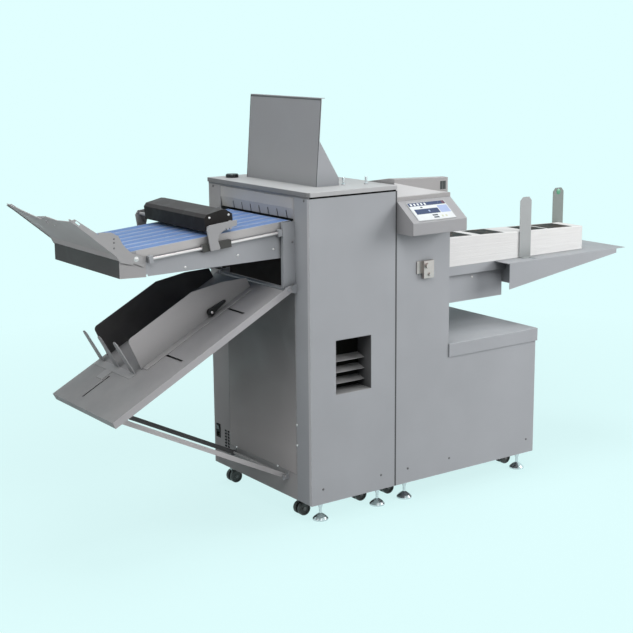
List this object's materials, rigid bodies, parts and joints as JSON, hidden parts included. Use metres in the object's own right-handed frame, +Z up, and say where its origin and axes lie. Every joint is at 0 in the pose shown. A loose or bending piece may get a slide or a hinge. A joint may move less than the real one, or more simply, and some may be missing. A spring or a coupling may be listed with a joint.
{
  "type": "paper folding machine",
  "caption": "Floor-standing creasing and folding machine: tower, feeder with lift table, belt delivery with press rollers, sloping catch trays, touch console, castors and levelling feet.",
  "frame": {"origin": "on the floor below the middle of the machine's overall box", "axes": "+X from delivery to feed table, +Y from the operator's side to the back, +Z up"},
  "size_m": [2.421, 0.72, 1.456],
  "materials": {
    "enclosure": "fine-texture grey powder coat",
    "frame_steel": "zinc-plated",
    "black_paint": "matt black paint",
    "black_plastic": "moulded, lightly grained",
    "belt_blue": "woven-faced conveyor belt",
    "roller_rubber": "ground rubber",
    "bright_metal": "polished",
    "screen": "glossy",
    "paper": "uncoated sheets"
  },
  "bodies": {
    "machine": {"tower_chassis": "frame_steel", "tower_front_panel": "enclosure", "vent_louvre": "enclosure", "tower_wrap": "enclosure", "service_panel": "enclosure", "mains_inlet": "black_plastic", "delivery_frame": "enclosure", "guide_rods": "bright_metal", "wall_brackets": "enclosure", "end_cap": "enclosure", "feeder_front": "enclosure", "feeder_carcass": "enclosure", "cabinet_lid": "enclosure", "column_cover": "enclosure", "console_housing": "enclosure", "touch_screen": "screen", "castor_mounts": "frame_steel", "levelling_feet": "bright_metal", "delivery_belts": "belt_blue"},
    "lid": {"top_lid": "enclosure", "sheet_stand": "enclosure"},
    "lid_knob": {"lid_knob": "black_plastic"},
    "thumb_screw_a": {"thumb_screw_a": "bright_metal"},
    "thumb_screw_b": {"thumb_screw_b": "bright_metal"},
    "exit_flap": {"exit_flap": "enclosure"},
    "fold_roller_low": {"fold_roller_low": "roller_rubber"},
    "fold_roller_high": {"fold_roller_high": "roller_rubber"},
    "crease_blade": {"crease_blade": "frame_steel"},
    "rocker_switch": {"rocker_switch": "black_plastic"},
    "drive_roller": {"drive_roller": "bright_metal"},
    "idle_roller": {"idle_roller": "bright_metal"},
    "press_carriage": {"press_housing": "black_plastic", "press_brackets": "frame_steel"},
    "press_rollers": {"press_rollers": "roller_rubber"},
    "catch_tray": {"catch_tray": "enclosure"},
    "lower_tray": {"lower_tray": "enclosure"},
    "near_guide": {"tray_guide_near": "enclosure"},
    "far_guide": {"tray_guide_far": "black_paint"},
    "clamp_lever": {"clamp_lever": "black_plastic"},
    "end_stop": {"end_stop": "frame_steel"},
    "tray_strut": {"tray_strut": "enclosure"},
    "door_latch": {"door_latch": "bright_metal"},
    "feed_drum": {"feed_drum": "roller_rubber"},
    "feed_table": {"feed_table": "enclosure", "paper_stack": "paper"},
    "feed_extension": {"feed_extension": "enclosure"},
    "side_guide_near": {"side_guide_near": "enclosure"},
    "side_guide_far": {"side_guide_far": "enclosure"},
    "castor_leg_tower_left": {"castor_leg_tower_left": "black_plastic"},
    "wheels_tower_left_front": {"wheels_tower_left_front": "roller_rubber"},
    "wheels_tower_left_rear": {"wheels_tower_left_rear": "roller_rubber"},
    "castor_leg_tower_right": {"castor_leg_tower_right": "black_plastic"},
    "wheels_tower_right_front": {"wheels_tower_right_front": "roller_rubber"},
    "wheels_tower_right_rear": {"wheels_tower_right_rear": "roller_rubber"},
    "castor_leg_feeder_left": {"castor_leg_feeder_left": "black_plastic"},
    "wheels_feeder_left_front": {"wheels_feeder_left_front": "roller_rubber"},
    "wheels_feeder_left_rear": {"wheels_feeder_left_rear": "roller_rubber"},
    "castor_leg_feeder_right": {"castor_leg_feeder_right": "black_plastic"},
    "wheels_feeder_right_front": {"wheels_feeder_right_front": "roller_rubber"},
    "wheels_feeder_right_rear": {"wheels_feeder_right_rear": "roller_rubber"}
  },
  "joints": [
    {"name": "lid_hinge", "type": "hinge", "parent": "machine", "child": "lid", "pos_m": [-0.2275, 0.36, 1.145], "axis": [-1, 0, 0], "range_deg": [0, 70]},
    {"name": "knob_turn", "type": "hinge", "parent": "lid", "child": "lid_knob", "pos_m": [-0.3455, 0.298, 1.16], "axis": [0, 0, 1], "continuous": true},
    {"name": "screw_a_turn", "type": "hinge", "parent": "lid", "child": "thumb_screw_a", "pos_m": [-0.1835, -0.157, 1.16], "axis": [0, 0, 1], "continuous": true},
    {"name": "screw_b_turn", "type": "hinge", "parent": "lid", "child": "thumb_screw_b", "pos_m": [-0.1055, -0.182, 1.16], "axis": [0, 0, 1], "continuous": true},
    {"name": "flap_hinge", "type": "hinge", "parent": "machine", "child": "exit_flap", "pos_m": [-0.4025, 0.051, 1.13], "axis": [0, 1, 0], "range_deg": [0, 50]},
    {"name": "fold_roller_high_turn", "type": "hinge", "parent": "machine", "child": "fold_roller_high", "pos_m": [-0.3455, 0.053, 1.0766], "axis": [0, 1, 0], "continuous": true},
    {"name": "fold_roller_low_turn", "type": "hinge", "parent": "machine", "child": "fold_roller_low", "pos_m": [-0.3455, 0.053, 1.04], "axis": [0, 1, 0], "continuous": true},
    {"name": "blade_slide", "type": "slide", "parent": "machine", "child": "crease_blade", "axis": [0, 0, 1], "range_m": [-0.008, 0]},
    {"name": "switch_rock", "type": "hinge", "parent": "machine", "child": "rocker_switch", "pos_m": [-0.4045, 0.332, 0.225], "axis": [0, 1, 0], "range_deg": [-8, 8]},
    {"name": "drive_roller_turn", "type": "hinge", "parent": "machine", "child": "drive_roller", "pos_m": [-0.44604, 0.053, 1.03907], "axis": [0, 1, 0], "continuous": true},
    {"name": "idle_roller_turn", "type": "hinge", "parent": "machine", "child": "idle_roller", "pos_m": [-0.98446, 0.053, 0.99783], "axis": [0, 1, 0], "continuous": true},
    {"name": "carriage_slide", "type": "slide", "parent": "machine", "child": "press_carriage", "axis": [0.9971, 0, 0.0764], "range_m": [-0.17, 0.14]},
    {"name": "press_roller_turn", "type": "hinge", "parent": "press_carriage", "child": "press_rollers", "pos_m": [-0.69229, 0.041, 1.05913], "axis": [0, 1, 0], "continuous": true},
    {"name": "catch_tray_hinge", "type": "hinge", "parent": "machine", "child": "catch_tray", "pos_m": [-0.9935, 0.064, 0.991], "axis": [0, 1, 0], "range_deg": [0, 45]},
    {"name": "tray_hinge", "type": "hinge", "parent": "machine", "child": "lower_tray", "pos_m": [-0.44391, 0.017, 0.83255], "axis": [0, 1, 0], "range_deg": [0, 10]},
    {"name": "near_guide_slide", "type": "slide", "parent": "lower_tray", "child": "near_guide", "axis": [0, 1, 0], "range_m": [-0.1, 0]},
    {"name": "far_guide_slide", "type": "slide", "parent": "lower_tray", "child": "far_guide", "axis": [0, 1, 0], "range_m": [-0.04, 0]},
    {"name": "clamp_lever_turn", "type": "hinge", "parent": "near_guide", "child": "clamp_lever", "pos_m": [-0.64806, -0.034, 0.75661], "axis": [0, 1, 0], "range_deg": [-80, 0]},
    {"name": "end_stop_slide", "type": "slide", "parent": "lower_tray", "child": "end_stop", "axis": [0.8847, 0, 0.4662], "range_m": [-0.09, 0]},
    {"name": "strut_pivot", "type": "hinge", "parent": "lower_tray", "child": "tray_strut", "pos_m": [-1.06302, 0.041, 0.47801], "axis": [0, 1, 0], "range_deg": [-22, 0]},
    {"name": "latch_turn", "type": "hinge", "parent": "machine", "child": "door_latch", "pos_m": [0.0925, -0.278, 0.85], "axis": [0, 1, 0], "range_deg": [0, 90]},
    {"name": "feed_drum_turn", "type": "hinge", "parent": "machine", "child": "feed_drum", "pos_m": [0.1325, 0.045, 0.972], "axis": [0, 1, 0], "continuous": true},
    {"name": "table_lift", "type": "slide", "parent": "machine", "child": "feed_table", "axis": [0, 0, 1], "range_m": [-0.09, 0]},
    {"name": "extension_slide", "type": "slide", "parent": "feed_table", "child": "feed_extension", "axis": [1, 0, 0], "range_m": [0, 0.12]},
    {"name": "side_guide_near_slide", "type": "slide", "parent": "feed_extension", "child": "side_guide_near", "axis": [0, 1, 0], "range_m": [-0.04, 0]},
    {"name": "side_guide_far_slide", "type": "slide", "parent": "feed_extension", "child": "side_guide_far", "axis": [0, 1, 0], "range_m": [0, 0.04]},
    {"name": "swivel_tower_left", "type": "hinge", "parent": "machine", "child": "castor_leg_tower_left", "pos_m": [-0.3635, -0.123, 0.075], "axis": [0, 0, 1], "continuous": true},
    {"name": "roll_tower_left_front", "type": "hinge", "parent": "castor_leg_tower_left", "child": "wheels_tower_left_front", "pos_m": [-0.3475, -0.123, 0.026], "axis": [0, 1, 0], "continuous": true},
    {"name": "roll_tower_left_rear", "type": "hinge", "parent": "machine", "child": "wheels_tower_left_rear", "pos_m": [-0.3475, 0.325, 0.024], "axis": [0, 1, 0], "continuous": true},
    {"name": "swivel_tower_right", "type": "hinge", "parent": "machine", "child": "castor_leg_tower_right", "pos_m": [-0.1125, -0.123, 0.075], "axis": [0, 0, 1], "continuous": true},
    {"name": "roll_tower_right_front", "type": "hinge", "parent": "castor_leg_tower_right", "child": "wheels_tower_right_front", "pos_m": [-0.0965, -0.123, 0.026], "axis": [0, 1, 0], "continuous": true},
    {"name": "roll_tower_right_rear", "type": "hinge", "parent": "machine", "child": "wheels_tower_right_rear", "pos_m": [-0.0965, 0.325, 0.024], "axis": [0, 1, 0], "continuous": true},
    {"name": "swivel_feeder_left", "type": "hinge", "parent": "machine", "child": "castor_leg_feeder_left", "pos_m": [0.0145, -0.123, 0.075], "axis": [0, 0, 1], "continuous": true},
    {"name": "roll_feeder_left_front", "type": "hinge", "parent": "castor_leg_feeder_left", "child": "wheels_feeder_left_front", "pos_m": [0.0305, -0.123, 0.026], "axis": [0, 1, 0], "continuous": true},
    {"name": "roll_feeder_left_rear", "type": "hinge", "parent": "machine", "child": "wheels_feeder_left_rear", "pos_m": [0.0305, 0.325, 0.024], "axis": [0, 1, 0], "continuous": true},
    {"name": "swivel_feeder_right", "type": "hinge", "parent": "machine", "child": "castor_leg_feeder_right", "pos_m": [0.6025, -0.123, 0.075], "axis": [0, 0, 1], "continuous": true},
    {"name": "roll_feeder_right_front", "type": "hinge", "parent": "castor_leg_feeder_right", "child": "wheels_feeder_right_front", "pos_m": [0.6185, -0.123, 0.026], "axis": [0, 1, 0], "continuous": true},
    {"name": "roll_feeder_right_rear", "type": "hinge", "parent": "machine", "child": "wheels_feeder_right_rear", "pos_m": [0.6185, 0.325, 0.024], "axis": [0, 1, 0], "continuous": true}
  ],
  "couplings": [
    {"joint": "fold_roller_low_turn", "follows": "fold_roller_high_turn", "ratio": -1},
    {"joint": "idle_roller_turn", "follows": "drive_roller_turn", "ratio": 1},
    {"joint": "press_roller_turn", "follows": "drive_roller_turn", "ratio": -0.915},
    {"joint": "strut_pivot", "follows": "tray_hinge", "ratio": -2.12},
    {"joint": "side_guide_far_slide", "follows": "side_guide_near_slide", "ratio": -1}
  ]
}
